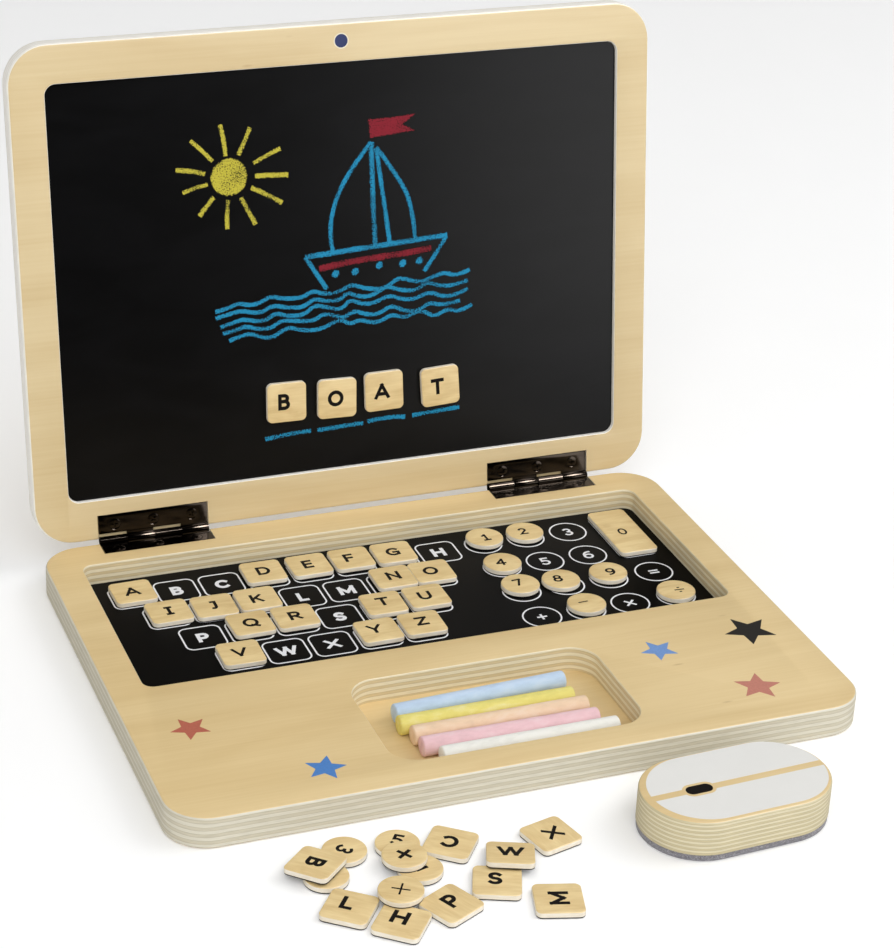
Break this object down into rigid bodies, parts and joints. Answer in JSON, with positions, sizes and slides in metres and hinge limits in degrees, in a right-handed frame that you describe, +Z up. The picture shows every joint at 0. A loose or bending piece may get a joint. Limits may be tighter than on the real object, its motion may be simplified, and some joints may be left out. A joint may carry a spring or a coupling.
{
  "type": "toy laptop computer",
  "caption": "Wooden toy laptop with a hinged chalkboard lid, magnetic letter and number keys, a tray of chalk sticks and a felt-soled mouse that rubs out the board.",
  "frame": {"origin": "middle of the underside of the base, which stands on the table", "axes": "+X to the user's right, +Y from the user towards the hinges, +Z up; the user sits on the -Y side and the lid stands open at 98.2 degrees"},
  "size_m": [0.3, 0.3534, 0.2385],
  "materials": {
    "plywood": "satin",
    "key_wood": "satin",
    "printed_panel": "satin",
    "chalkboard_paint": "matte",
    "black_nickel": "gloss",
    "bright_pin": "satin",
    "chalk_blue": "matte",
    "chalk_yellow": "matte",
    "chalk_peach": "matte",
    "chalk_pink": "matte",
    "chalk_white": "matte",
    "felt": "matte"
  },
  "bodies": {
    "base": {"base_frame": "plywood", "base_bottom_board": "plywood", "keyboard_panel": "printed_panel", "hinge_base_leaf_left": "black_nickel", "hinge_base_leaf_right": "black_nickel", "hinge_pin_left": "bright_pin", "hinge_pin_right": "bright_pin"},
    "lid": {"lid_frame": "plywood", "lid_back_board": "plywood", "chalkboard_panel": "chalkboard_paint", "hinge_lid_leaf_left": "black_nickel", "hinge_lid_leaf_right": "black_nickel"},
    "key_A": {"key_A": "key_wood"},
    "key_D": {"key_D": "key_wood"},
    "key_E": {"key_E": "key_wood"},
    "key_F": {"key_F": "key_wood"},
    "key_G": {"key_G": "key_wood"},
    "key_I": {"key_I": "key_wood"},
    "key_J": {"key_J": "key_wood"},
    "key_K": {"key_K": "key_wood"},
    "key_N": {"key_N": "key_wood"},
    "key_O": {"key_O": "key_wood"},
    "key_Q": {"key_Q": "key_wood"},
    "key_R": {"key_R": "key_wood"},
    "key_T": {"key_T": "key_wood"},
    "key_U": {"key_U": "key_wood"},
    "key_V": {"key_V": "key_wood"},
    "key_Y": {"key_Y": "key_wood"},
    "key_Z": {"key_Z": "key_wood"},
    "key_1": {"key_1": "key_wood"},
    "key_2": {"key_2": "key_wood"},
    "key_4": {"key_4": "key_wood"},
    "key_7": {"key_7": "key_wood"},
    "key_8": {"key_8": "key_wood"},
    "key_9": {"key_9": "key_wood"},
    "key_minus": {"key_minus": "key_wood"},
    "key_divide": {"key_divide": "key_wood"},
    "key_0": {"key_0": "key_wood"},
    "board_key_B": {"board_key_B": "key_wood"},
    "board_key_O": {"board_key_O": "key_wood"},
    "board_key_A": {"board_key_A": "key_wood"},
    "board_key_T": {"board_key_T": "key_wood"},
    "chalk_blue": {"chalk_blue": "chalk_blue"},
    "chalk_yellow": {"chalk_yellow": "chalk_yellow"},
    "chalk_peach": {"chalk_peach": "chalk_peach"},
    "chalk_pink": {"chalk_pink": "chalk_pink"},
    "chalk_white": {"chalk_white": "chalk_white"},
    "mouse": {"mouse_block": "plywood", "mouse_felt": "felt"},
    "loose_keys": {"loose_key_L": "key_wood", "loose_key_H": "key_wood", "loose_key_P": "key_wood", "loose_key_S": "key_wood", "loose_key_X": "key_wood", "loose_key_M": "key_wood", "loose_key_C": "key_wood", "loose_key_3": "key_wood", "loose_key_5": "key_wood", "loose_key_6": "key_wood", "loose_key_equals": "key_wood"}
  },
  "joints": [
    {"name": "lid_hinge", "type": "hinge", "parent": "base", "child": "lid", "pos_m": [0, 0.1137, 0.01415], "axis": [-1, 0, 0], "range_deg": [-98.2, 81.8]},
    {"name": "key_A_lift", "type": "slide", "parent": "base", "child": "key_A", "axis": [0, 0, 1], "range_m": [0, 0.03]},
    {"name": "key_D_lift", "type": "slide", "parent": "base", "child": "key_D", "axis": [0, 0, 1], "range_m": [0, 0.03]},
    {"name": "key_E_lift", "type": "slide", "parent": "base", "child": "key_E", "axis": [0, 0, 1], "range_m": [0, 0.03]},
    {"name": "key_F_lift", "type": "slide", "parent": "base", "child": "key_F", "axis": [0, 0, 1], "range_m": [0, 0.03]},
    {"name": "key_G_lift", "type": "slide", "parent": "base", "child": "key_G", "axis": [0, 0, 1], "range_m": [0, 0.03]},
    {"name": "key_I_lift", "type": "slide", "parent": "base", "child": "key_I", "axis": [0, 0, 1], "range_m": [0, 0.03]},
    {"name": "key_J_lift", "type": "slide", "parent": "base", "child": "key_J", "axis": [0, 0, 1], "range_m": [0, 0.03]},
    {"name": "key_K_lift", "type": "slide", "parent": "base", "child": "key_K", "axis": [0, 0, 1], "range_m": [0, 0.03]},
    {"name": "key_N_lift", "type": "slide", "parent": "base", "child": "key_N", "axis": [0, 0, 1], "range_m": [0, 0.03]},
    {"name": "key_O_lift", "type": "slide", "parent": "base", "child": "key_O", "axis": [0, 0, 1], "range_m": [0, 0.03]},
    {"name": "key_Q_lift", "type": "slide", "parent": "base", "child": "key_Q", "axis": [0, 0, 1], "range_m": [0, 0.03]},
    {"name": "key_R_lift", "type": "slide", "parent": "base", "child": "key_R", "axis": [0, 0, 1], "range_m": [0, 0.03]},
    {"name": "key_T_lift", "type": "slide", "parent": "base", "child": "key_T", "axis": [0, 0, 1], "range_m": [0, 0.03]},
    {"name": "key_U_lift", "type": "slide", "parent": "base", "child": "key_U", "axis": [0, 0, 1], "range_m": [0, 0.03]},
    {"name": "key_V_lift", "type": "slide", "parent": "base", "child": "key_V", "axis": [0, 0, 1], "range_m": [0, 0.03]},
    {"name": "key_Y_lift", "type": "slide", "parent": "base", "child": "key_Y", "axis": [0, 0, 1], "range_m": [0, 0.03]},
    {"name": "key_Z_lift", "type": "slide", "parent": "base", "child": "key_Z", "axis": [0, 0, 1], "range_m": [0, 0.03]},
    {"name": "key_1_lift", "type": "slide", "parent": "base", "child": "key_1", "axis": [0, 0, 1], "range_m": [0, 0.03]},
    {"name": "key_2_lift", "type": "slide", "parent": "base", "child": "key_2", "axis": [0, 0, 1], "range_m": [0, 0.03]},
    {"name": "key_4_lift", "type": "slide", "parent": "base", "child": "key_4", "axis": [0, 0, 1], "range_m": [0, 0.03]},
    {"name": "key_7_lift", "type": "slide", "parent": "base", "child": "key_7", "axis": [0, 0, 1], "range_m": [0, 0.03]},
    {"name": "key_8_lift", "type": "slide", "parent": "base", "child": "key_8", "axis": [0, 0, 1], "range_m": [0, 0.03]},
    {"name": "key_9_lift", "type": "slide", "parent": "base", "child": "key_9", "axis": [0, 0, 1], "range_m": [0, 0.03]},
    {"name": "key_minus_lift", "type": "slide", "parent": "base", "child": "key_minus", "axis": [0, 0, 1], "range_m": [0, 0.03]},
    {"name": "key_divide_lift", "type": "slide", "parent": "base", "child": "key_divide", "axis": [0, 0, 1], "range_m": [0, 0.03]},
    {"name": "key_0_lift", "type": "slide", "parent": "base", "child": "key_0", "axis": [0, 0, 1], "range_m": [0, 0.03]},
    {"name": "board_key_B_pull", "type": "slide", "parent": "lid", "child": "board_key_B", "axis": [0, -0.9898, 0.1426], "range_m": [0, 0.025]},
    {"name": "board_key_O_pull", "type": "slide", "parent": "lid", "child": "board_key_O", "axis": [0, -0.9898, 0.1426], "range_m": [0, 0.025]},
    {"name": "board_key_A_pull", "type": "slide", "parent": "lid", "child": "board_key_A", "axis": [0, -0.9898, 0.1426], "range_m": [0, 0.025]},
    {"name": "board_key_T_pull", "type": "slide", "parent": "lid", "child": "board_key_T", "axis": [0, -0.9898, 0.1426], "range_m": [0, 0.025]},
    {"name": "chalk_blue_lift", "type": "slide", "parent": "base", "child": "chalk_blue", "axis": [0, 0, 1], "range_m": [0, 0.03]},
    {"name": "chalk_yellow_lift", "type": "slide", "parent": "base", "child": "chalk_yellow", "axis": [0, 0, 1], "range_m": [0, 0.03]},
    {"name": "chalk_peach_lift", "type": "slide", "parent": "base", "child": "chalk_peach", "axis": [0, 0, 1], "range_m": [0, 0.03]},
    {"name": "chalk_pink_lift", "type": "slide", "parent": "base", "child": "chalk_pink", "axis": [0, 0, 1], "range_m": [0, 0.03]},
    {"name": "chalk_white_lift", "type": "slide", "parent": "base", "child": "chalk_white", "axis": [0, 0, 1], "range_m": [0, 0.03]},
    {"name": "mouse_slide", "type": "slide", "parent": "base", "child": "mouse", "axis": [0, -1, 0], "range_m": [0, 0.06]},
    {"name": "loose_keys_lift", "type": "slide", "parent": "base", "child": "loose_keys", "axis": [0, 0, 1], "range_m": [0, 0.04]}
  ]
}
